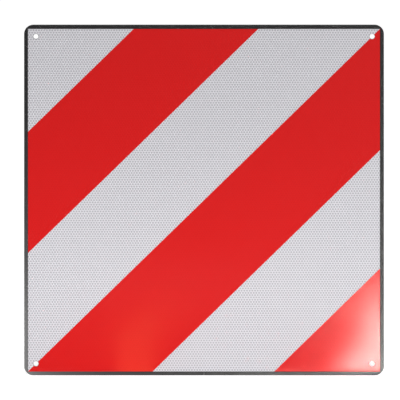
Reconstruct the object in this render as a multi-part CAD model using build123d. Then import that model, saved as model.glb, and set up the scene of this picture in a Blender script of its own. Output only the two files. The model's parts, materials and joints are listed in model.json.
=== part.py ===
from build123d import *
import os

# Overhanging load sign: a square metal plate faced with pale reflective sheeting, three red
# diagonal stripes laid over the sheeting, and a black plastic channel pressed round the edge.
# Millimetres. The sign stands upright in the XZ plane and faces -Y. The origin is the middle of
# the four corner holes, on the back of the plate.

# Whole sign
SIGN_SIZE = 500.0
OUTER_CORNER_RADIUS = 13.0

# Layers, from the back of the plate forwards
PANEL_THICKNESS = 1.5
ADHESIVE_THICKNESS = 0.1
SHEETING_THICKNESS = 0.4
RED_FILM_THICKNESS = 0.08

# Edge channel
TRIM_WALL = 0.9
TRIM_LIP = 5.4
TRIM_OUTER_ROUND = 0.4
TRIM_LIP_BEVEL = 0.35
MITRE_GAP = 0.3
BUTT_GAP = 0.3

# Fixing holes, one near each corner
HOLE_SPACING = 467.0
PANEL_HOLE_DIAMETER = 7.0
SHEETING_HOLE_DIAMETER = 8.0

# Stripes at 45 degrees, rising from lower left to upper right. The diagonal from corner to corner
# is the upper edge of the lower red band, and widths are square to the stripes.
RED_BAND_WIDTH = 122.5
WHITE_BAND_WIDTH = 119.5
STRIPE_ANGLE = 45.0

# Distances that follow from the dimensions above. Depths run forwards, towards -Y.
PANEL_SIZE = SIGN_SIZE - 2 * TRIM_WALL
PANEL_CORNER_RADIUS = OUTER_CORNER_RADIUS - TRIM_WALL
WINDOW_SIZE = SIGN_SIZE - 2 * TRIM_LIP
ADHESIVE_BACK = PANEL_THICKNESS
SHEETING_BACK = ADHESIVE_BACK + ADHESIVE_THICKNESS
RED_FILM_BACK = SHEETING_BACK + SHEETING_THICKNESS
LAMINATE_FRONT = RED_FILM_BACK + RED_FILM_THICKNESS
TRIM_FRONT = LAMINATE_FRONT + TRIM_WALL
TRIM_BACK = -TRIM_WALL
HALF_DIAGONAL = SIGN_SIZE / 2**0.5
CUT_LENGTH = 2 * SIGN_SIZE
DIAGONALS = (STRIPE_ANGLE, STRIPE_ANGLE + 90)


def upright(depth):
    """The plane that faces the viewer, a given depth forward of the back of the plate."""
    return Plane(origin=(0, -depth, 0), x_dir=(1, 0, 0), z_dir=(0, -1, 0))


def slab(outline, back, front):
    """A flat layer of the given outline between two depths."""
    return extrude(upright(back) * outline, front - back)


def corner_holes(diameter):
    """The four fixing holes, as circles in the plane of the sign."""
    return Sketch() + GridLocations(HOLE_SPACING, HOLE_SPACING, 2, 2) * Circle(diameter / 2)


def panel_outline():
    """The rounded square that the channel grips."""
    return RectangleRounded(PANEL_SIZE, PANEL_SIZE, PANEL_CORNER_RADIUS)


def laminate_outline(hole_diameter):
    """The outline that every layer is cut to, with its holes."""
    return panel_outline() - corner_holes(hole_diameter)


def stripe(upper_edge, lower_edge):
    """One diagonal stripe, cut to the laminate. Edges are distances below the sign's diagonal."""
    middle = (upper_edge + lower_edge) / 2
    strip = Pos(0, -middle) * Rectangle(CUT_LENGTH, lower_edge - upper_edge)
    return laminate_outline(SHEETING_HOLE_DIAMETER) & Rot(0, 0, STRIPE_ANGLE) * strip


def red_film(upper_edge, lower_edge):
    """A red stripe lying on the sheeting."""
    return slab(stripe(upper_edge, lower_edge), RED_FILM_BACK, LAMINATE_FRONT)


def make_edge_trim():
    """The channel: one spine round the plate, with a lip on the front and a lip on the back."""
    sign_outline = RectangleRounded(SIGN_SIZE, SIGN_SIZE, OUTER_CORNER_RADIUS)
    body = slab(sign_outline, TRIM_BACK, TRIM_FRONT)
    faces = body.faces().sort_by(Axis.Y)
    body = fillet(faces[0].edges() + faces[-1].edges(), TRIM_OUTER_ROUND)

    # The slot that grips the laminate, and the square window inside the lips
    slot = slab(panel_outline(), 0, LAMINATE_FRONT)
    window = slab(Rectangle(WINDOW_SIZE, WINDOW_SIZE), TRIM_BACK, TRIM_FRONT)

    # The free edge of the front lip is bevelled
    bevel_foot = Rectangle(WINDOW_SIZE, WINDOW_SIZE)
    bevel_top = Rectangle(WINDOW_SIZE + 2 * TRIM_LIP_BEVEL, WINDOW_SIZE + 2 * TRIM_LIP_BEVEL)
    bevel = loft([upright(TRIM_FRONT - TRIM_LIP_BEVEL) * bevel_foot, upright(TRIM_FRONT) * bevel_top])

    # Both lips are notched on the corner diagonals, so that the spine can bend round the corner
    mitres = Sketch() + [Rot(0, 0, angle) * Rectangle(CUT_LENGTH, MITRE_GAP) for angle in DIAGONALS]
    notches = slab(mitres & panel_outline(), TRIM_BACK, TRIM_FRONT)

    # The two ends of the channel meet in the middle of the lower edge
    butt_cut = Pos(0, -SIGN_SIZE / 2) * Rectangle(BUTT_GAP, 3 * TRIM_LIP)
    butt = slab(butt_cut, TRIM_BACK, TRIM_FRONT)
    return body - slot - window - bevel - notches - butt


backing_panel = slab(laminate_outline(PANEL_HOLE_DIAMETER), 0, ADHESIVE_BACK)
adhesive_film = slab(laminate_outline(SHEETING_HOLE_DIAMETER), ADHESIVE_BACK, SHEETING_BACK)
reflective_sheeting = slab(laminate_outline(SHEETING_HOLE_DIAMETER), SHEETING_BACK, RED_FILM_BACK)
red_band_upper = red_film(-WHITE_BAND_WIDTH - RED_BAND_WIDTH, -WHITE_BAND_WIDTH)
red_band_lower = red_film(0, RED_BAND_WIDTH)
red_corner = red_film(RED_BAND_WIDTH + WHITE_BAND_WIDTH, HALF_DIAGONAL)
edge_trim = make_edge_trim()

nodes = {
    "backing_panel": backing_panel,
    "adhesive_film": adhesive_film,
    "reflective_sheeting": reflective_sheeting,
    "red_band_upper": red_band_upper,
    "red_band_lower": red_band_lower,
    "red_corner": red_corner,
    "edge_trim": edge_trim,
}

os.makedirs("parts", exist_ok=True)
for name, shape in nodes.items():
    export_step(shape, f"parts/{name}.step")
    box = shape.bounding_box()
    print(name, "volume", round(shape.volume, 1), "from", box.min, "to", box.max)
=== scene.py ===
# %% [markdown]
# Dressing a road sign
#
# The object is a square sign that is hung on a load which sticks out behind a vehicle: a thin metal
# plate, a sheet of pale honeycomb reflective sheeting, three red stripes and a black plastic channel
# round the edge. Its sizes and its construction were settled in CAD. Blender adds what CAD leaves plain,
# which is the relief of the sheeting and the finish of every surface, and then sets up a small studio to
# look at it in.
#
# The CAD model arrives as a fixed frame. Nothing in it may be moved, so everything below is worked out
# from it.

# %% Load the fixed frame
import json
import math

import bpy
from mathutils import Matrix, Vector
from mathutils.geometry import delaunay_2d_cdt


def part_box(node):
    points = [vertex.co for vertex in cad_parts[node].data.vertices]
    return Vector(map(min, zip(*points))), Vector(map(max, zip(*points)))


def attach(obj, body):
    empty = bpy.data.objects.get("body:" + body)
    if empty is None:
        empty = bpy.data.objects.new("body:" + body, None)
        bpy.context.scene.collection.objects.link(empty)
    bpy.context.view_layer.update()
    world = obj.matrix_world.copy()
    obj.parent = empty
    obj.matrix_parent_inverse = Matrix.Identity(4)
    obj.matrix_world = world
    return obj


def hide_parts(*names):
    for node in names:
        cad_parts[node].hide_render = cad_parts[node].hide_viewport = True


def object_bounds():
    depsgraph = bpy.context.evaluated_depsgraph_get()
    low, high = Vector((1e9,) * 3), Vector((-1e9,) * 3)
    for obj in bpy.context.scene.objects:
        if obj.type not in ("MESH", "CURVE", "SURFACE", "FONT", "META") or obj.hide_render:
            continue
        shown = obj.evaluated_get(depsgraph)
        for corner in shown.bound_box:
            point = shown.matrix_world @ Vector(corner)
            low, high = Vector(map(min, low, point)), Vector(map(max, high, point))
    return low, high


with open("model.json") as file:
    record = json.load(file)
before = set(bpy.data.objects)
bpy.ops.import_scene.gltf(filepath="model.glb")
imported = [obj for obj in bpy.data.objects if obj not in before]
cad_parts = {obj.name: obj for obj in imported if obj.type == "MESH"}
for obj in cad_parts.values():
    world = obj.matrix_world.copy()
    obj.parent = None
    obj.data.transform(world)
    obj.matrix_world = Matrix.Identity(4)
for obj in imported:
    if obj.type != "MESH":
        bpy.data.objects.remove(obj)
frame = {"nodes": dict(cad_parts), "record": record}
cad_low, cad_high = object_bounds()
print("parts:", ", ".join(sorted(frame["nodes"])))
print("sign, mm:", [round(1000 * side, 2) for side in cad_high - cad_low])

# %% [markdown]
# Reading sizes off the frame
#
# A named size that is measured on the CAD part can't drift away from it. The channel's free edge frames
# the face of the sign, so the nearest that it comes to the middle gives the half width of what can be
# seen. The sheeting's outline is a square with round corners, and its holes are circles that share the
# plate's centres. Depth runs along Y, and the sign faces the -Y side, so "front" is always the lower Y of
# the two.

# %% Measure the sheeting, its holes and the visible window
MM = 0.001
SAME_PLACE = 0.01 * MM          # points closer than this lie on the same line


def points_of(node):
    """The corners of a CAD part's mesh, as (x, y, z) in metres."""
    return [corner.co for corner in frame["nodes"][node].data.vertices]


sheet_low, sheet_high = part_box("reflective_sheeting")
sheet_half = sheet_high.x
sheet_front, sheet_back = sheet_low.y, sheet_high.y
film_low, film_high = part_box("red_band_lower")
film_front, film_back = film_low.y, film_high.y

straight_end = max(p.z for p in points_of("reflective_sheeting") if p.x > sheet_half - SAME_PLACE)
corner_radius = sheet_half - straight_end
window_half = min(max(abs(p.x), abs(p.z)) for p in points_of("edge_trim"))

hole_mount = next(m for m in frame["record"]["mounts"] if m["name"] == "corner_holes")
hole_reach = hole_mount["dims"]["spacing_x_mm"] * MM / 2
hole_middles = [(x, z) for x in (-hole_reach, hole_reach) for z in (-hole_reach, hole_reach)]
hole_radius = min(math.hypot(abs(p.x) - hole_reach, abs(p.z) - hole_reach)
                  for p in points_of("reflective_sheeting"))

print("half width of sheeting and window, mm:", round(sheet_half / MM, 2), round(window_half / MM, 2))
print("corner radius and hole radius, mm:", round(corner_radius / MM, 2), round(hole_radius / MM, 2))

# %% [markdown]
# Where the stripes lie
#
# The stripes rise at 45 degrees from lower left to upper right. One number says how far a point is below
# the sign's diagonal, measured square to the stripes, so each red stripe is just a range of that number.
# The ranges are read off the red parts of the CAD model.

# %% Measure the stripes
def below_diagonal(x, z):
    """Distance of a point below the rising diagonal, square to it."""
    return (x - z) / math.sqrt(2)


def stripe_range(node):
    """The two edges of a red stripe, as distances below the diagonal."""
    reach = [below_diagonal(p.x, p.z) for p in points_of(node)]
    return min(reach), max(reach)


red_nodes = ("red_band_upper", "red_band_lower", "red_corner")
stripes = {node: stripe_range(node) for node in red_nodes}
for node, (upper, lower) in stripes.items():
    print(node, "lies from", round(upper / MM, 1), "to", round(lower / MM, 1), "mm below the diagonal")

# %% [markdown]
# The honeycomb of the sheeting
#
# This kind of sheeting is two films sealed together along a net of hexagons. The seal stands up as a low
# ridge and each cell is a shallow pan, so the face is not flat: it glitters in a honeycomb when light
# grazes it. The relief could be faked with a bump texture, but then the mesh itself would be a plain
# slab, and the pattern would vanish as soon as the part is used without its material. So the cells are
# modelled.
#
# A hexagonal net is two rectangular grids of points, one set in the middle of the other. For any place on
# the face, the nearer of its two nearest grid points is the middle of its cell, and the distance to the
# cell's side follows from the hexagon's shape: 0 in the middle, 1 on the ridge. The finish uses the same
# sum later.

# %% The honeycomb as a formula
CELL_PITCH = 3.73 * MM          # from one cell to the next along a row
ROW_PITCH = CELL_PITCH * math.sqrt(3) / 2
CELL_CORNER = CELL_PITCH / math.sqrt(3)
FLOOR_SHARE = 0.76              # how far out from the middle the flat floor of a pan reaches
PAN_DEPTH = 0.07 * MM
HEX_ANGLES = [math.radians(30 + 60 * k) for k in range(6)]


def wrapped(value, period):
    """The value moved by whole periods until it lies within half a period of zero."""
    return value - period * round(value / period)


def way_to_ridge(x, z):
    """0 in the middle of a cell, 1 on the ridge between two cells."""
    first = (wrapped(x, CELL_PITCH), wrapped(z, 2 * ROW_PITCH))
    second = (wrapped(x - CELL_PITCH / 2, CELL_PITCH), wrapped(z - ROW_PITCH, 2 * ROW_PITCH))
    across, up = min(first, second, key=lambda way: math.hypot(*way))
    return max(abs(across), abs(across) / 2 + abs(up) * math.sqrt(3) / 2) / (CELL_PITCH / 2)


def pan_depth(x, z):
    """How far the face lies behind the ridges at this place."""
    return PAN_DEPTH * min(1, max(0, 1 - way_to_ridge(x, z)) / (1 - FLOOR_SHARE))


print("row pitch, mm:", round(ROW_PITCH / MM, 3))
print("slope of a pan's side, degrees:",
      round(math.degrees(math.atan2(PAN_DEPTH, (1 - FLOOR_SHARE) * CELL_PITCH / 2)), 1))

# %% [markdown]
# Outlines in the plane of the sign
#
# Every layer is cut from the same rounded square with four holes. The outlines are lists of points, with
# the round stretches taken from a formula. A test that says whether a point is on the sheeting goes with
# them. It treats the round stretches as the straight chords that the mesh has, so that no sliver is kept
# by mistake.

# %% Outlines and the test that goes with them
ARC_STEPS = 16                  # chords in a quarter of a rounded corner
HOLE_STEPS = 40                 # chords round a hole
SLIVER = 0.02 * MM              # a strip thinner than this along a round stretch is dropped


def rounded_square():
    """The sheeting's outline, counter-clockwise from its right side."""
    inset = sheet_half - corner_radius
    points = []
    for quarter, (sx, sz) in enumerate(((1, 1), (-1, 1), (-1, -1), (1, -1))):
        for step in range(ARC_STEPS + 1):
            angle = math.pi / 2 * (quarter + step / ARC_STEPS)
            points.append((sx * inset + corner_radius * math.cos(angle),
                           sz * inset + corner_radius * math.sin(angle)))
    return points


def hole_ring(middle):
    """The outline of one hole."""
    turns = [2 * math.pi * step / HOLE_STEPS for step in range(HOLE_STEPS)]
    return [(middle[0] + hole_radius * math.cos(t), middle[1] + hole_radius * math.sin(t)) for t in turns]


def on_sheeting(x, z):
    """Whether a point lies on the rounded square and in none of its holes."""
    inset = sheet_half - corner_radius
    past_x, past_z = max(0, abs(x) - inset), max(0, abs(z) - inset)
    in_outline = math.hypot(past_x, past_z) < corner_radius - SLIVER * (past_x > 0 and past_z > 0)
    chord_radius = hole_radius * math.cos(math.pi / HOLE_STEPS)
    return in_outline and all(math.hypot(x - hx, z - hz) > chord_radius for hx, hz in hole_middles)


print("outline points:", len(rounded_square()), "and", HOLE_STEPS, "for each hole")

# %% [markdown]
# From outlines and creases to a closed solid
#
# A boolean cut of twenty thousand little pans would be slow and would leave torn cells along every edge.
# Instead all the creases of the honeycomb and all the outlines are given to a constrained triangulation,
# which keeps every one of those lines as an edge and splits them where they cross. The first step is to
# collect the lines. Neighbouring cells share their ridges, so each point is held only once.

# %% Collect the creases of the cells
POINT_GRID = SLIVER / 20        # points closer than this are one point


class Drawing:
    """Points and lines in the plane of the sign, with each point held once."""

    def __init__(self):
        self.points, self.lines, self.known = [], set(), {}

    def point(self, x, z):
        """The number of the point at this place, which is added if it is new."""
        key = (round(x / POINT_GRID), round(z / POINT_GRID))
        if key not in self.known:
            self.known[key] = len(self.points)
            self.points.append(Vector((x, z)))
        return self.known[key]

    def path(self, places, closed=True):
        """Lines from each place to the next, and from the last to the first if closed."""
        numbers = [self.point(*place) for place in places]
        ends = numbers[1:] + numbers[:1] if closed else numbers[1:]
        self.lines.update((min(a, b), max(a, b)) for a, b in zip(numbers, ends))

    def cell(self, x, z):
        """The ridge round a cell, the edge of its floor, and the creases between them."""
        rim = [(x + CELL_CORNER * math.cos(a), z + CELL_CORNER * math.sin(a)) for a in HEX_ANGLES]
        floor = [(x + (px - x) * FLOOR_SHARE, z + (pz - z) * FLOOR_SHARE) for px, pz in rim]
        self.path(rim)
        self.path(floor)
        for pair in zip(rim, floor):
            self.path(pair, closed=False)


def cell_middles(wanted):
    """The middles of the cells whose place passes a test, row by row."""
    reach = window_half + CELL_PITCH / 2
    rows, columns = int(reach / ROW_PITCH) + 1, int(reach / CELL_PITCH) + 1
    for row in range(-rows, rows + 1):
        for column in range(-columns, columns + 1):
            x, z = (column + row % 2 / 2) * CELL_PITCH, row * ROW_PITCH
            if max(abs(x), abs(z)) < reach and wanted(below_diagonal(x, z)):
                yield x, z


print("cells in the window:", sum(1 for _ in cell_middles(lambda reach: True)))

# %% [markdown]
# A map to paint the finish on
#
# A program that can't run Blender's nodes shows a finish as a painted picture, and a map says which spot
# of the picture belongs to which spot of the mesh. An automatic map would cut every little slope of the
# pans loose and scatter them. These layers are flat, so their front is simply laid on the picture as it
# is seen, as large as it fits, and the back, which nobody sees, takes a small corner of it.

# %% A flat picture map
MAP_NAME = "OFBake"             # a painted picture of the finish goes on a map of this name
FRONT_ON_MAP = (0.03, 0.995)    # where the front starts and ends on the map, both ways
BACK_ON_MAP = (0.002, 0.028)


def add_picture_map(mesh, first_back):
    """Lays every face on the map as it is seen from the front. Faces from first_back on are the back."""
    places = [(corner.co.x, corner.co.z) for corner in mesh.vertices]
    left, foot = (min(along) for along in zip(*places))
    right, top = (max(along) for along in zip(*places))
    shares = [((x - left) / (right - left), (z - foot) / (top - foot)) for x, z in places]
    layer = mesh.uv_layers.new(name=MAP_NAME)
    for face in mesh.polygons:
        start, end = BACK_ON_MAP if face.index >= first_back else FRONT_ON_MAP
        for corner in face.loop_indices:
            across, up = shares[mesh.loops[corner].vertex_index]
            layer.uv[corner].vector = (start + across * (end - start), start + up * (end - start))


print("a map of 1000 pixels gives a cell about",
      round(1000 * (FRONT_ON_MAP[1] - FRONT_ON_MAP[0]) * CELL_PITCH / (2 * sheet_half), 1), "of them")

# %% [markdown]
# The triangles of a layer
#
# The triangulation fills everything inside the drawing's outer hull, holes and neighbouring stripes too.
# So a triangle is kept only if its middle lies on the layer, and it is turned to face the front. An edge
# that only one kept triangle has is a free edge, and the free edges together are the layer's outline.

# %% Triangulate a drawing
MERGE_DISTANCE = SLIVER / 1000


def kept_triangles(drawing, covers):
    """The triangulated drawing: its points, and the triangles whose middle lies on the layer."""
    result = delaunay_2d_cdt(drawing.points, sorted(drawing.lines), [], 0, MERGE_DISTANCE, False)
    points, faces = result[0], result[2]
    kept = []
    for face in faces:
        a, b, c = (points[i] for i in face)
        middle = (a + b + c) / 3
        if covers(middle.x, middle.y):
            kept.append(face if (b - a).cross(c - a) > 0 else face[::-1])
    return points, kept


def free_edges(triangles):
    """The edges that only one triangle has, each with the layer on its left."""
    edges = {(t[k], t[(k + 1) % 3]) for t in triangles for k in range(3)}
    return [(a, b) for a, b in edges if (b, a) not in edges]


one_cell = Drawing()
one_cell.cell(0, 0)
print("one cell takes", len(kept_triangles(one_cell, lambda x, z: True)[1]), "triangles")

# %% [markdown]
# Closing a layer
#
# A solid needs a back and side walls as well. Each corner of the front gets its depth from the formula.
# The free edges are carried straight back to make the walls, and the same edges bound the flat back,
# which is triangulated once more from its outline alone, because it has no cells.

# %% Close a layer
def closed_layer(name, drawing, covers, front, back):
    """A solid layer with the honeycomb on its front, a flat back and straight side walls."""
    # The front, with its cells
    points, triangles = kept_triangles(drawing, covers)
    used = sorted({i for t in triangles for i in t})
    number = {old: new for new, old in enumerate(used)}
    corners = [(points[i].x, front + pan_depth(points[i].x, points[i].y), points[i].y) for i in used]
    faces = [tuple(number[i] for i in t) for t in triangles]
    fronts = len(faces)

    # The walls, from each free edge of the front to a copy of it on the back
    edges = sorted((number[a], number[b]) for a, b in free_edges(triangles))
    rim = sorted({i for edge in edges for i in edge})
    behind = {i: len(corners) + k for k, i in enumerate(rim)}
    corners += [(corners[i][0], back, corners[i][2]) for i in rim]
    faces += [(b, a, behind[a], behind[b]) for a, b in edges]

    # The back, inside the same outline
    place = {i: k for k, i in enumerate(rim)}
    plan = Drawing()
    plan.points = [Vector((corners[i][0], corners[i][2])) for i in rim]
    plan.lines = {(place[a], place[b]) for a, b in edges}
    backs = kept_triangles(plan, covers)[1]
    faces += [tuple(behind[rim[i]] for i in reversed(t)) for t in backs]

    mesh = bpy.data.meshes.new(name)
    mesh.from_pydata(corners, [], faces)
    add_picture_map(mesh, fronts + len(edges))
    piece = bpy.data.objects.new(name, mesh)
    bpy.context.scene.collection.objects.link(piece)
    print(name, "has", fronts, "front triangles,", len(edges), "walls and", len(backs), "back triangles")
    return piece


print("layers to close:", 1 + len(red_nodes))

# %% [markdown]
# The white sheet
#
# On the real sign one sheet of pale sheeting covers the whole plate and the red lies on top of it. Its
# cells matter only where they show, so pans are drawn in the white bands and a little under the stripes'
# edges, and the hidden rest stays flat. Whole cells end on a ridge, so the flat part joins them without a
# step.

# %% Make the white sheet
def outlines():
    """A drawing with the sheeting's outline and its holes."""
    drawing = Drawing()
    drawing.path(rounded_square())
    for middle in hole_middles:
        drawing.path(hole_ring(middle))
    return drawing


def shows_white(reach):
    """Whether a cell this far below the diagonal has any part outside the red stripes."""
    return not any(upper + CELL_CORNER < reach < lower - CELL_CORNER for upper, lower in stripes.values())


sheet_drawing = outlines()
for middle in cell_middles(shows_white):
    sheet_drawing.cell(*middle)
white_sheet = closed_layer("honeycomb_sheeting", sheet_drawing, on_sheeting, sheet_front, sheet_back)
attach(white_sheet, "root")
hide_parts("reflective_sheeting")

# %% [markdown]
# The red stripes
#
# The red is a thin transparent film pressed onto the sheeting, so it takes on the same cells, in step
# with those of the white. Each stripe is drawn as the whole outline plus its two long edges. The
# triangulation finds where they cross, and the test keeps what lies between the edges.

# %% Make the three red films
def stripe_line(reach):
    """A line across the whole sign, a given distance below the diagonal."""
    down = reach / math.sqrt(2)
    return [(down - 2 * sheet_half, -down - 2 * sheet_half), (down + 2 * sheet_half, -down + 2 * sheet_half)]


def make_red_film(name, node):
    """One stripe of red film, with cells wherever it shows."""
    upper, lower = stripes[node]
    drawing = outlines()
    for reach in (upper, lower):
        drawing.path(stripe_line(reach), closed=False)
    for middle in cell_middles(lambda reach: upper - CELL_CORNER < reach < lower + CELL_CORNER):
        drawing.cell(*middle)

    def on_stripe(x, z):
        return upper < below_diagonal(x, z) < lower and on_sheeting(x, z)

    film = closed_layer(name, drawing, on_stripe, film_front, film_back)
    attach(film, "root")
    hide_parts(node)
    return film


red_films = [make_red_film(name, node) for name, node in zip(
    ("upper_red_stripe", "lower_red_stripe", "corner_red_stripe"), red_nodes)]

# %% [markdown]
# Writing shader nodes in Python
#
# Each finish is a tree of shader nodes round one Principled surface. Writing a tree in Python is mostly
# adding a node, setting a few values and joining sockets, so one helper does all three: a value that is
# itself a socket is joined, and any other value is written on the node. Sums and soft steps get helpers
# of their own.

# %% Helpers for shader trees
def add_node(tree, kind, inputs=None, **settings):
    """One new node. Inputs that are sockets are joined, other inputs are written on the node."""
    node = tree.nodes.new("ShaderNode" + kind)
    for key, value in settings.items():
        setattr(node, key, value)
    for key, value in (inputs or {}).items():
        if isinstance(value, bpy.types.NodeSocket):
            tree.links.new(value, node.inputs[key])
        else:
            node.inputs[key].default_value = value
    return node


def sum_of(tree, operation, *values):
    """The result of a sum on numbers or sockets."""
    return add_node(tree, "Math", dict(enumerate(values)), operation=operation).outputs[0]


def product(tree, first, *others):
    """Numbers or sockets multiplied together."""
    for other in others:
        first = sum_of(tree, "MULTIPLY", first, other)
    return first


def vector_sum(tree, operation, *values):
    """The result of a sum on vectors."""
    return add_node(tree, "VectorMath", dict(enumerate(values)), operation=operation).outputs[0]


def ramp_between(tree, value, low, high, to_low=0.0, to_high=1.0):
    """A soft step: to_low where the value is under low, to_high where it is over high."""
    inputs = {"Value": value, "From Min": low, "From Max": high, "To Min": to_low, "To Max": to_high}
    return add_node(tree, "MapRange", inputs, interpolation_type="SMOOTHSTEP").outputs[0]


print("shader helpers for Blender", bpy.app.version_string)

# %% [markdown]
# The honeycomb in nodes
#
# In daylight the sealed ridges look paler than the pans, where fine glass beads lie over a metal coat.
# That difference of tone is what makes the net visible from a few steps away. It has to fall exactly on
# the modelled ridges, so the nodes repeat the formula for the cells. Vector Wrap does each of the two
# grids.
#
# All patterns start from object coordinates. These pieces sit at the origin of the frame, so the
# coordinates are plain metres on the sign, and a scale of 1000 means one repeat in a millimetre.

# %% The distance to the ridge, as nodes
RIDGE_BAND = (0.62, 0.84)       # the share of the way at which a pan's tone starts and ends to turn pale


def ridge_nodes(tree, place):
    """0 in the middle of a cell and 1 on the ridge, for every point of the face."""
    axes = add_node(tree, "SeparateXYZ", {0: place})
    flat = add_node(tree, "CombineXYZ", {0: axes.outputs["X"], 1: axes.outputs["Z"]}).outputs[0]
    spot = add_node(tree, "VectorMath", {0: flat, "Scale": 1 / CELL_PITCH}, operation="SCALE").outputs[0]

    # Half a repeat of a grid, in cell pitches, and the way to the nearest point of each grid
    half = (0.5, math.sqrt(3) / 2, 1.0)
    minus_half = tuple(-side for side in half)
    first = vector_sum(tree, "WRAP", spot, half, minus_half)
    moved = vector_sum(tree, "ADD", spot, (half[0], half[1], 0.0))
    second = vector_sum(tree, "WRAP", moved, half, minus_half)
    lengths = [add_node(tree, "VectorMath", {0: way}, operation="LENGTH").outputs["Value"]
               for way in (first, second)]
    first_is_nearer = sum_of(tree, "LESS_THAN", *lengths)
    nearer = add_node(tree, "Mix", {0: first_is_nearer, 4: second, 5: first}, data_type="VECTOR").outputs[1]

    # The nearer way against the three directions of a hexagon's sides
    parts = add_node(tree, "SeparateXYZ", {0: vector_sum(tree, "ABSOLUTE", nearer)}).outputs
    slanted = sum_of(tree, "ADD", product(tree, parts["X"], 0.5),
                     product(tree, parts["Y"], math.sqrt(3) / 2))
    return product(tree, sum_of(tree, "MAXIMUM", parts["X"], slanted), 2.0)


print("the pale net starts", round((1 - RIDGE_BAND[0]) * CELL_PITCH / 2 / MM, 2), "mm from each ridge")

# %% [markdown]
# What every finish starts with
#
# A new material in Blender already holds a Principled surface, and an exported model keeps that one best.
# Its colour and its roughness come from noise and from mixes of two tones, and a fine relief goes to its
# normal as bump. To wear a finish, a piece takes it in its first material slot.

# %% Helpers for finishes
NOISE_SPREAD = (0.3, 0.7)       # most of the noise lies between these values


def mix_colours(tree, share, first, second):
    """A colour between two others."""
    return add_node(tree, "Mix", {0: share, 6: first, 7: second}, data_type="RGBA").outputs[2]


def grain(tree, place, scale, detail=2.0):
    """Noise from 0 to 1 with about this many repeats in a metre."""
    return add_node(tree, "TexNoise", {"Vector": place, "Scale": scale, "Detail": detail}).outputs[0]


def stretched_grain(tree, place, repeats, detail=2.0):
    """Noise with its own number of repeats in a metre along X, Y and Z."""
    return grain(tree, vector_sum(tree, "MULTIPLY", place, repeats), 1.0, detail)


def new_finish(name):
    """A new material: its tree, its surface shader and the place of each point in metres."""
    finish = bpy.data.materials.new(name)
    finish.use_nodes = True
    tree = finish.node_tree
    surface = tree.nodes["Principled BSDF"]
    place = add_node(tree, "TexCoord").outputs["Object"]
    return finish, tree, surface, place


def join_surface(tree, surface, colour, roughness, height, strength, depth):
    """Joins a colour, a roughness and a fine relief of some depth to the surface."""
    bump = add_node(tree, "Bump", {"Strength": strength, "Distance": depth, "Height": height})
    tree.links.new(colour, surface.inputs["Base Color"])
    tree.links.new(roughness, surface.inputs["Roughness"])
    tree.links.new(bump.outputs[0], surface.inputs["Normal"])


def wear(piece, finish):
    """Gives a piece one finish all over."""
    if piece.material_slots:
        piece.material_slots[0].material = finish
    else:
        piece.data.materials.append(finish)
    print(piece.name, "wears", finish.name)


print("materials so far:", len(bpy.data.materials))

# %% [markdown]
# White sheeting
#
# The face is a clear acrylic film over glass beads, so it is pale grey rather than white, a touch blue,
# and smoother on the ridges than over the beads. The bead grain is a fine noise, far too small to see
# from a step away but present in a close look, and a broad faint cloud keeps the sheet from being
# perfectly even. The red film has the same make, so one function serves both, and each gives its own
# tones.

# %% Finish for the white sheeting
BEADS = 5000                    # repeats in a metre
CLOUDS = 14
CLOUD_IN_GLOSS = 0.02           # how much a cloud dulls the face
FILM_SPECULAR = 0.38
BEAD_HEIGHT = 0.02 * MM


def make_cell_finish(name, pan_tones, seal_tones, roughness, bead_strength):
    """A film with cells. Each kind of tone is a pair, and roughness is that of a pan and that of a ridge."""
    finish, tree, surface, place = new_finish(name)
    ridge = ramp_between(tree, ridge_nodes(tree, place), *RIDGE_BAND)
    beads = grain(tree, place, BEADS)
    cloud = grain(tree, place, CLOUDS)
    pan = mix_colours(tree, beads, *pan_tones)
    seal = mix_colours(tree, cloud, *seal_tones)
    colour = mix_colours(tree, ridge, pan, seal)
    gloss = ramp_between(tree, ridge, 0, 1, *roughness)
    clouded = sum_of(tree, "ADD", gloss, product(tree, cloud, CLOUD_IN_GLOSS))
    join_surface(tree, surface, colour, clouded, beads, bead_strength, BEAD_HEIGHT)
    surface.inputs["Specular IOR Level"].default_value = FILM_SPECULAR
    return finish


WHITE_PANS = ((0.472, 0.465, 0.500, 1), (0.502, 0.495, 0.530, 1))
WHITE_SEALS = ((0.77, 0.765, 0.80, 1), (0.79, 0.785, 0.82, 1))
WHITE_ROUGHNESS = (0.24, 0.18)
WHITE_BEAD_STRENGTH = 0.15
wear(white_sheet, make_cell_finish("honeycomb_white", WHITE_PANS, WHITE_SEALS, WHITE_ROUGHNESS,
                                   WHITE_BEAD_STRENGTH))

# %% [markdown]
# Red film
#
# The film is dyed, not painted, so its colour is deep and even, and the ridges show through it only
# faintly. Its gloss still follows the cells. That is why the net appears again wherever a bright light is
# mirrored.

# %% Finish for the red film
RED_PANS = ((0.66, 0.0082, 0.0084, 1), (0.68, 0.0086, 0.0088, 1))
RED_SEALS = ((0.685, 0.0086, 0.0088, 1), (0.705, 0.009, 0.0092, 1))
RED_ROUGHNESS = (0.20, 0.24)
RED_BEAD_STRENGTH = 0.1
red_finish = make_cell_finish("dyed_red", RED_PANS, RED_SEALS, RED_ROUGHNESS, RED_BEAD_STRENGTH)
for film in red_films:
    wear(film, red_finish)

# %% [markdown]
# Black channel
#
# The channel is extruded PVC, black and satin. Extrusion leaves fine lines along its length, which on the
# upper and lower sides run along X and on the other two along Z. So the noise is stretched both ways, and
# the larger of the two distances from the middle says which one a spot takes. Handling leaves the gloss
# uneven.

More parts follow.
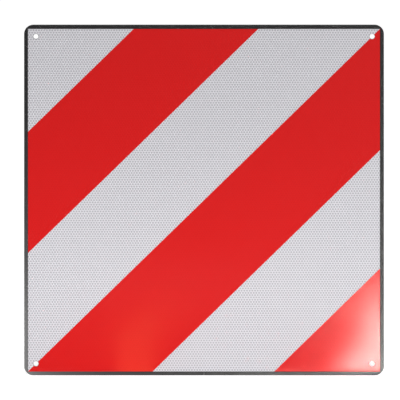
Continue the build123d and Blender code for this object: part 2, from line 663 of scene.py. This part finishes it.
# %% Finish for the channel
LINES_ALONG = 12.0              # repeats of the drawn lines in a metre
LINES_ACROSS = 2500.0
LINE_DETAIL = 3.0
HANDLED_PATCHES = 35            # repeats in a metre
BLACK_TONES = ((0.004, 0.004, 0.0045, 1), (0.006, 0.006, 0.0065, 1))
SATIN_ROUGHNESS = (0.62, 0.68)
LINES_IN_GLOSS = 0.06
PVC_SPECULAR = 0.55
LINE_STRENGTH = 0.25
LINE_HEIGHT = 0.03 * MM


def make_trim_plastic():
    """Satin black plastic with lines along each side of the channel."""
    finish, tree, surface, place = new_finish("satin_black")
    axes = add_node(tree, "SeparateXYZ", {0: place}).outputs
    upright = sum_of(tree, "GREATER_THAN", sum_of(tree, "ABSOLUTE", axes["X"]),
                     sum_of(tree, "ABSOLUTE", axes["Z"]))
    along_x = vector_sum(tree, "MULTIPLY", place, (LINES_ALONG, LINES_ACROSS, LINES_ACROSS))
    along_z = vector_sum(tree, "MULTIPLY", place, (LINES_ACROSS, LINES_ACROSS, LINES_ALONG))
    drawn = add_node(tree, "Mix", {0: upright, 4: along_x, 5: along_z}, data_type="VECTOR").outputs[1]
    lines = grain(tree, drawn, 1.0, LINE_DETAIL)
    patches = grain(tree, place, HANDLED_PATCHES)
    colour = mix_colours(tree, patches, *BLACK_TONES)
    satin = ramp_between(tree, patches, *NOISE_SPREAD, *SATIN_ROUGHNESS)
    lined = sum_of(tree, "ADD", satin, product(tree, lines, LINES_IN_GLOSS))
    join_surface(tree, surface, colour, lined, lines, LINE_STRENGTH, LINE_HEIGHT)
    surface.inputs["Specular IOR Level"].default_value = PVC_SPECULAR
    return finish


channel = frame["nodes"]["edge_trim"]
wear(channel, make_trim_plastic())

# %% [markdown]
# Bare aluminium
#
# The back of the plate is left as it came from the rolling mill: a grey metal with fine streaks in the
# rolling direction, broad faint bands and a few dull handling marks. All three are noise, stretched or
# cut off.

# %% Finish for the plate
STREAK_REPEATS = (9.0, 60.0, 2600.0)
STREAK_DETAIL = 4.0
STREAK_SPREAD = (0.25, 0.75)
BAND_REPEATS = (1.5, 1.0, 45.0)
MARK_REPEATS = 22
MARK_DETAIL = 5.0
MARK_EDGE = (0.56, 0.72)
METAL_TONES = ((0.50, 0.505, 0.515, 1), (0.62, 0.625, 0.635, 1))
BAND_TONE = (0.46, 0.465, 0.475, 1)
BAND_SHARE = 0.35
MARK_TONE = (0.44, 0.445, 0.45, 1)
MARK_SHARE = 0.3
METAL_ROUGHNESS = (0.30, 0.42)
MARK_IN_GLOSS = 0.15
STREAK_STRENGTH = 0.2
STREAK_HEIGHT = 0.02 * MM


def make_mill_aluminium():
    """Rolled aluminium with streaks, bands and dull marks."""
    finish, tree, surface, place = new_finish("mill_aluminium")
    streaks = stretched_grain(tree, place, STREAK_REPEATS, STREAK_DETAIL)
    bands = stretched_grain(tree, place, BAND_REPEATS)
    marks = ramp_between(tree, grain(tree, place, MARK_REPEATS, MARK_DETAIL), *MARK_EDGE)
    metal = mix_colours(tree, streaks, *METAL_TONES)
    banded = mix_colours(tree, product(tree, bands, BAND_SHARE), metal, BAND_TONE)
    colour = mix_colours(tree, product(tree, marks, MARK_SHARE), banded, MARK_TONE)
    rolled = ramp_between(tree, streaks, *STREAK_SPREAD, *METAL_ROUGHNESS)
    dulled = sum_of(tree, "ADD", rolled, product(tree, marks, MARK_IN_GLOSS))
    join_surface(tree, surface, colour, dulled, streaks, STREAK_STRENGTH, STREAK_HEIGHT)
    surface.inputs["Metallic"].default_value = 1.0
    return finish


wear(frame["nodes"]["backing_panel"], make_mill_aluminium())

# %% [markdown]
# Adhesive
#
# The film that holds the sheeting shows only as a thread of milky grey inside the four holes. It still
# gets a finish of its own, because the part may be taken apart in another scene.

# %% Finish for the adhesive
SWIRLS = 180                    # repeats in a metre
SWIRL_DETAIL = 3.0
ADHESIVE_TONES = ((0.62, 0.60, 0.54, 1), (0.74, 0.72, 0.66, 1))
ADHESIVE_ROUGHNESS = (0.35, 0.5)
SWIRL_STRENGTH = 0.2
SWIRL_HEIGHT = 0.02 * MM


def make_adhesive():
    """A milky film, swirled where it was rolled on."""
    finish, tree, surface, place = new_finish("milky_adhesive")
    swirl = grain(tree, place, SWIRLS, SWIRL_DETAIL)
    colour = mix_colours(tree, swirl, *ADHESIVE_TONES)
    rough = ramp_between(tree, swirl, *NOISE_SPREAD, *ADHESIVE_ROUGHNESS)
    join_surface(tree, surface, colour, rough, swirl, SWIRL_STRENGTH, SWIRL_HEIGHT)
    return finish


wear(frame["nodes"]["adhesive_film"], make_adhesive())

# %% [markdown]
# A white floor that still takes a shadow
#
# A white background can't come from brighter lamps, because they would bleach the sign too. So to the
# soft light that reaches the sign this is an ordinary pale floor, while to the camera and to mirrors it
# also glows a little. Light Path tells the shader which of these is asking. The open floor then reads as
# white, while a shadow, which takes away the lit part, is still grey.
#
# Cycles counts every glowing mesh among its lamps and aims some of its rays at it. This glow is only
# looked at and lights nothing, so those rays would be wasted and leave noise. The material has a setting
# for that.

# %% Floor
FLOOR_SIDE = 24.0
FLOOR_TONE = 0.8
FLOOR_GLOW = 0.72


def seen_directly(tree):
    """1 for the camera, for mirrors and for clear things, 0 for soft light."""
    rays = add_node(tree, "LightPath").outputs
    either = sum_of(tree, "MAXIMUM", rays["Is Camera Ray"], rays["Is Glossy Ray"])
    return sum_of(tree, "MAXIMUM", either, rays["Is Transmission Ray"])


def new_glow(name):
    """An empty material that glows but isn't counted among the lamps, and its tree."""
    finish = bpy.data.materials.new(name)
    finish.cycles.emission_sampling = "NONE"
    finish.use_nodes = True
    finish.node_tree.nodes.clear()
    return finish, finish.node_tree


def add_to_stage(name, corners, faces, finish):
    """A mesh that belongs to the studio and not to the sign."""
    mesh = bpy.data.meshes.new(name)
    mesh.from_pydata(corners, [], faces)
    mesh.materials.append(finish)
    thing = bpy.data.objects.new(name, mesh)
    bpy.context.scene.collection.objects.link(thing)
    return thing


def make_floor():
    """A level floor that the sign stands on."""
    finish, tree = new_glow("pale_floor")
    lit = add_node(tree, "BsdfDiffuse", {"Color": (FLOOR_TONE, FLOOR_TONE, FLOOR_TONE, 1)}).outputs[0]
    strength = product(tree, seen_directly(tree), FLOOR_GLOW)
    glow = add_node(tree, "Emission", {"Strength": strength}).outputs[0]
    both = add_node(tree, "AddShader", {0: lit, 1: glow}).outputs[0]
    add_node(tree, "OutputMaterial", {"Surface": both})
    half = FLOOR_SIDE / 2
    corners = [(x, y, cad_low.z) for x, y in ((-half, -half), (half, -half), (half, half), (-half, half))]
    add_to_stage("floor", corners, [(0, 1, 2, 3)], finish)


make_floor()
print("floor at z, mm:", round(cad_low.z / MM, 1))

# %% [markdown]
# The room
#
# The world behind the floor works in the same way: it is white to look at, and to everything else it is a
# dim even light, which fills the shadows.

# %% World
WORLD_LIGHT = 0.35


def make_world():
    """White to look at, a dim even light to everything else."""
    world = bpy.data.worlds.new("white_room")
    world.use_nodes = True
    tree = world.node_tree
    tree.nodes.clear()
    strength = ramp_between(tree, seen_directly(tree), 0, 1, WORLD_LIGHT, 1.0)
    background = add_node(tree, "Background", {"Color": (1, 1, 1, 1), "Strength": strength})
    add_node(tree, "OutputWorld", {"Surface": background.outputs[0]})
    bpy.context.scene.world = world


make_world()
print("world light:", WORLD_LIGHT)

# %% [markdown]
# Lamps
#
# A large soft lamp, high in front and a little to the right, gives the even light. The photographed sign
# grows brighter towards its foot, so a long low strip in front adds light that fades upwards. That strip
# is hidden from mirrors, because a glossy face would otherwise show it as a stripe.

# %% Lamps
SOFTBOX_PLACE = (0.5, -2.3, 1.93)
SOFTBOX_SIZE = (2.4, 1.6)
SOFTBOX_WATTS = 40
STRIP_PLACE = (-0.1, -0.4, cad_low.z + 35 * MM)
STRIP_SIZE = (2.2, 0.06)
STRIP_WATTS = 2.25


def add_lamp(name, place, target, size, watts):
    """A rectangular soft lamp that points at a target and isn't seen by the camera."""
    data = bpy.data.lights.new(name, "AREA")
    data.shape = "RECTANGLE"
    data.size, data.size_y = size
    data.energy = watts
    lamp = bpy.data.objects.new(name, data)
    lamp.location = place
    lamp.rotation_mode = "QUATERNION"
    lamp.rotation_quaternion = (Vector(target) - Vector(place)).to_track_quat("-Z", "Y")
    lamp.visible_camera = False
    bpy.context.scene.collection.objects.link(lamp)
    print(name, "lamp of", watts, "W")
    return lamp


def straight_ahead(place):
    """The point that a lamp faces when it points square at the plane of the sign."""
    return place[0], 0, place[2]


add_lamp("front_softbox", SOFTBOX_PLACE, (0, 0, 0), SOFTBOX_SIZE, SOFTBOX_WATTS)
low_strip = add_lamp("low_strip", STRIP_PLACE, straight_ahead(STRIP_PLACE), STRIP_SIZE, STRIP_WATTS)
low_strip.visible_glossy = False

# %% [markdown]
# What the gloss mirrors
#
# Seen from a little above, the upright face mirrors the floor in front of it: the foot mirrors the floor
# close by, and the top mirrors it two metres out. In the photograph the gloss is dark on the left and a
# little lighter on the right, while a white floor would lay an even veil over it. So a dark cloth,
# lighter towards the right, lies in front of the sign and hangs up behind the camera. Only mirrors see
# it, so it leaves the even light on the sign alone.

# %% A graded cloth that only mirrors see
CLOTH_LEVEL = cad_low.z + 0.2 * MM
CLOTH_NEAR = -0.02              # where it starts in front of the sign, along Y
CLOTH_FAR = -4.0                # where it turns up, along Y
CLOTH_TOP = 3.0
CLOTH_SIDES = (-4.0, 4.0)
CLOTH_GRADE = (-0.3, 0.5)       # the stretch of X in which it grows lighter
CLOTH_GLOW = (0.02, 0.3)
WHITE_LIGHT = (1, 1, 1, 1)


def add_glow(name, strips, sides, tint, glow, see_through):
    """Strips between pairs of (y, z) places. Only mirrors see them, and glow gives their strength."""
    finish, tree = new_glow(name)
    axes = add_node(tree, "SeparateXYZ", {0: add_node(tree, "TexCoord").outputs["Object"]}).outputs
    strength = glow(tree, axes["X"], axes["Y"])
    shine = add_node(tree, "Emission", {"Color": tint, "Strength": strength}).outputs[0]
    if see_through:
        clear = add_node(tree, "BsdfTransparent").outputs[0]
        shine = add_node(tree, "AddShader", {0: clear, 1: shine}).outputs[0]
    add_node(tree, "OutputMaterial", {"Surface": shine})
    corners = [(x, y, z) for strip in strips for y, z in strip for x in sides]
    faces = [(4 * k, 4 * k + 1, 4 * k + 3, 4 * k + 2) for k in range(len(strips))]
    sheet = add_to_stage(name, corners, faces, finish)
    sheet.visible_camera = sheet.visible_diffuse = sheet.visible_shadow = sheet.visible_transmission = False
    print(name, "has", len(faces), "faces")
    return sheet


def cloth_glow(tree, x, y):
    """Dark on the left, a little lighter on the right, and the same all along Y."""
    return ramp_between(tree, x, *CLOTH_GRADE, *CLOTH_GLOW)


cloth_on_floor = ((CLOTH_NEAR, CLOTH_LEVEL), (CLOTH_FAR, CLOTH_LEVEL))
cloth_upright = ((CLOTH_FAR, CLOTH_LEVEL), (CLOTH_FAR, CLOTH_TOP))
add_glow("graded_cloth", [cloth_on_floor, cloth_upright], CLOTH_SIDES, WHITE_LIGHT, cloth_glow, False)

# %% [markdown]
# Ribs that shine at the camera's height
#
# In the photograph something bright is mirrored in the lower right corner. A glowing card on the floor
# would give that gleam, but seen from higher up, or from the side, a flat card bleaches the stripe. A row
# of low upright ribs does better. Each is just as tall as it takes to cover the gap to the next one at
# the camera's height, so there they add up to a card, and from steeper angles mostly gaps are seen. A
# clear shader under the glow lets other reflections through. Light linking, last of all, says which
# pieces a row may reach.

# %% Rows of ribs
VIEW_ELEVATION = math.radians(13.25)
RIB_LEVEL = cad_low.z + 0.5 * MM
RIB_SPACING = 8 * MM
RIB_COUNT = 87
rib_height = RIB_SPACING * math.tan(VIEW_ELEVATION)


def rib_row(first):
    """Upright strips from a first place along Y on, away from the sign."""
    places = [first - RIB_SPACING * k for k in range(RIB_COUNT)]
    return [((y, RIB_LEVEL), (y, RIB_LEVEL + rib_height)) for y in places]


def shine_only_on(source, *pieces):
    """Lets a lamp or a glowing sheet reach these pieces alone, as shields would in a studio."""
    reached = bpy.data.collections.new("reached_by_" + source.name)
    for piece in pieces:
        reached.objects.link(piece)
    source.light_linking.receiver_collection = reached
    print(source.name, "reaches", ", ".join(piece.name for piece in pieces))


print("height of a rib, mm:", round(rib_height / MM, 2))

# %% [markdown]
# The gleam in the corner
#
# The glow of the first row is drawn with soft steps, whose places are metres along X or Y, so Y runs from
# the far end up to 0 at the sign. Its main part lies in front of the corner, wider to the left towards
# the sign, and fades at the far end. A second part is a narrow line at the sign's foot, which the channel
# mirrors.

# %% Glow for the corner
GLEAM_LENGTH = (-0.3, 0.0)      # along Y, from where the gleam starts to widen up to the sign
GLEAM_STARTS = (0.223, 0.149)   # along X, its left edge at both ends of that length
GLEAM_FULL = (0.231, 0.239)     # along X, where it is at full strength
FAR_STRETCH = (-0.62, -0.36)
FAR_STRENGTH = (12.0, 47.0)
FAR_FADE = (-0.64, -0.5)
NEAR_STRETCH = (-0.3, -0.15)
NEAR_SHARE = (1.0, 0.81)
LAST_STRETCH = (-0.066, -0.012)
LAST_SHARE = (1.0, 0.08)
PAST_SIGN = (0.248, 0.268)      # along X, just past the sign's right side
PAST_STRETCH = (-0.24, -0.1)
PAST_SHARE = (1.0, 0.4)


def gleam(tree, x, y):
    """The bright patch that the corner stripe mirrors."""
    starts = ramp_between(tree, y, *GLEAM_LENGTH, *GLEAM_STARTS)
    full = ramp_between(tree, y, *GLEAM_LENGTH, *GLEAM_FULL)
    strength = ramp_between(tree, y, *FAR_STRETCH, *FAR_STRENGTH)
    patch = ramp_between(tree, x, starts, full, 0.0, strength)
    nearer = ramp_between(tree, y, *NEAR_STRETCH, *NEAR_SHARE)
    last = ramp_between(tree, y, *LAST_STRETCH, *LAST_SHARE)
    past = ramp_between(tree, x, *PAST_SIGN, 1.0, ramp_between(tree, y, *PAST_STRETCH, *PAST_SHARE))
    return product(tree, patch, nearer, last, past)


FOOT_STRETCH = (-0.03, -0.008)
FOOT_SIDES = (-0.1, 0.17)       # along X, from the weak left end to the strong right end
FOOT_LEFT = (0.0, 2.0)
FOOT_RIGHT = 10.0
BEFORE_FOOT = (-0.09, -0.04)
BEFORE_FOOT_RIGHT = (0.3, 1.6)
FOOT_END = (0.19, 0.24)         # along X, where it gives way to the gleam
FOOT_END_SHARE = (1.0, 0.3)


def foot_line(tree, x, y):
    """The line of light close to the sign's foot."""
    left = ramp_between(tree, y, *FOOT_STRETCH, *FOOT_LEFT)
    before = ramp_between(tree, y, *BEFORE_FOOT, *BEFORE_FOOT_RIGHT)
    right = ramp_between(tree, y, *FOOT_STRETCH, before, FOOT_RIGHT)
    line = ramp_between(tree, x, *FOOT_SIDES, left, right)
    return product(tree, line, ramp_between(tree, x, *FOOT_END, *FOOT_END_SHARE))


def corner_glow(tree, x, y):
    """Both parts together, fading out at the far end of the row."""
    both = sum_of(tree, "ADD", gleam(tree, x, y), foot_line(tree, x, y))
    return product(tree, both, ramp_between(tree, y, *FAR_FADE))


CORNER_SIDES = (-0.26, 0.4)
CORNER_TINT = (1, 1, 0.94, 1)
corner_ribs = add_glow("corner_ribs", rib_row(-RIB_SPACING), CORNER_SIDES, CORNER_TINT, corner_glow, True)
shine_only_on(corner_ribs, red_films[-1], channel)

# %% [markdown]
# A warm patch on the middle stripe
#
# Low on the middle stripe the photograph has a faint warm patch, which leans to the right as it goes up.
# A second row of ribs, half a step behind the first, draws it: full strength along a leaning line, soft
# edges on both sides of it, and a fade at either end.

# %% Glow for the middle stripe
WARM_LENGTH = (-0.45, -0.25)    # along Y, the stretch in which the line leans
WARM_LINE = (-0.04, -0.095)     # along X, the line at both ends of it
WARM_EDGE = (0.015, 0.035)      # how far from the line the edge starts and ends
WARM_STRENGTH = 7.0
WARM_FAR_FADE = (-0.46, -0.38)
WARM_NEAR_STRETCH = (-0.25, -0.1)
WARM_NEAR_SHARE = (1.0, 0.65)
WARM_SIDES = (-0.16, 0.06)
WARM_TINT = (0.75, 0.25, 0.1, 1)


def warm_glow(tree, x, y):
    """A soft band of light along a leaning line."""
    line = ramp_between(tree, y, *WARM_LENGTH, *WARM_LINE)
    away = sum_of(tree, "ABSOLUTE", sum_of(tree, "SUBTRACT", x, line))
    return product(tree, ramp_between(tree, away, *WARM_EDGE, WARM_STRENGTH, 0.0),
                   ramp_between(tree, y, *WARM_FAR_FADE),
                   ramp_between(tree, y, *WARM_NEAR_STRETCH, *WARM_NEAR_SHARE))


warm_ribs = add_glow("warm_ribs", rib_row(-1.5 * RIB_SPACING), WARM_SIDES, WARM_TINT, warm_glow, True)
shine_only_on(warm_ribs, red_films[1])

# %% [markdown]
# Sheen on the channel
#
# The black channel is lighter low on its two upright sides. Two small lamps beside the sign give that
# sheen. It is a matter of gloss alone, so they are hidden from soft light, and light linking keeps them
# off the stripes.

# %% Two lamps for the channel
LEFT_SHEEN_PLACE = (cad_low.x - 140 * MM, -60 * MM, cad_low.z + 26 * MM)
LEFT_SHEEN_SIZE = (0.05, 0.048)
LEFT_SHEEN_WATTS = 11.5
RIGHT_SHEEN_PLACE = (cad_high.x + 314 * MM, -90 * MM, cad_low.z + 85 * MM)
RIGHT_SHEEN_SIZE = (0.05, 0.09)
RIGHT_SHEEN_WATTS = 14


def add_sheen(name, place, size, watts):
    """A lamp that only the channel's gloss sees."""
    lamp = add_lamp(name, place, straight_ahead(place), size, watts)
    lamp.visible_diffuse = False
    shine_only_on(lamp, channel)


add_sheen("left_sheen", LEFT_SHEEN_PLACE, LEFT_SHEEN_SIZE, LEFT_SHEEN_WATTS)
add_sheen("right_sheen", RIGHT_SHEEN_PLACE, RIGHT_SHEEN_SIZE, RIGHT_SHEEN_WATTS)

# %% [markdown]
# Camera
#
# In the photograph the sign is square to the camera from side to side but a little squashed from top to
# bottom, which puts the camera about 13 degrees above it. Its opposite sides are parallel, so there are
# no vanishing points. A lens would have to be very long to give that, while an orthographic camera gives
# it exactly. The size of the sign in the picture then fixes the camera's scale, and its place fixes where
# the camera points.

# %% Camera
PICTURE_SIDE_PX = 400
SIGN_WIDTH_PX = 359.85
SIGN_MIDDLE_PX = (204.0, 199.98)
CAMERA_DISTANCE = 3.0

metres_per_px = (cad_high.x - cad_low.x) / SIGN_WIDTH_PX
back = Vector((0, -math.cos(VIEW_ELEVATION), math.sin(VIEW_ELEVATION)))
up = Vector((0, math.sin(VIEW_ELEVATION), math.cos(VIEW_ELEVATION)))
offset = [(at - PICTURE_SIDE_PX / 2) * metres_per_px for at in SIGN_MIDDLE_PX]
aim = (cad_low + cad_high) / 2 - Vector((offset[0], 0, 0)) + up * offset[1]

camera_data = bpy.data.cameras.new("camera")
camera_data.type = "ORTHO"
camera_data.ortho_scale = PICTURE_SIDE_PX * metres_per_px
camera = bpy.data.objects.new("camera", camera_data)
camera.location = aim + back * CAMERA_DISTANCE
camera.rotation_mode = "QUATERNION"
camera.rotation_quaternion = (-back).to_track_quat("-Z", "Y")
bpy.context.scene.collection.objects.link(camera)
bpy.context.scene.camera = camera
bpy.context.scene.view_settings.view_transform = "Standard"
print("width of the picture, mm:", round(camera_data.ortho_scale / MM, 1))
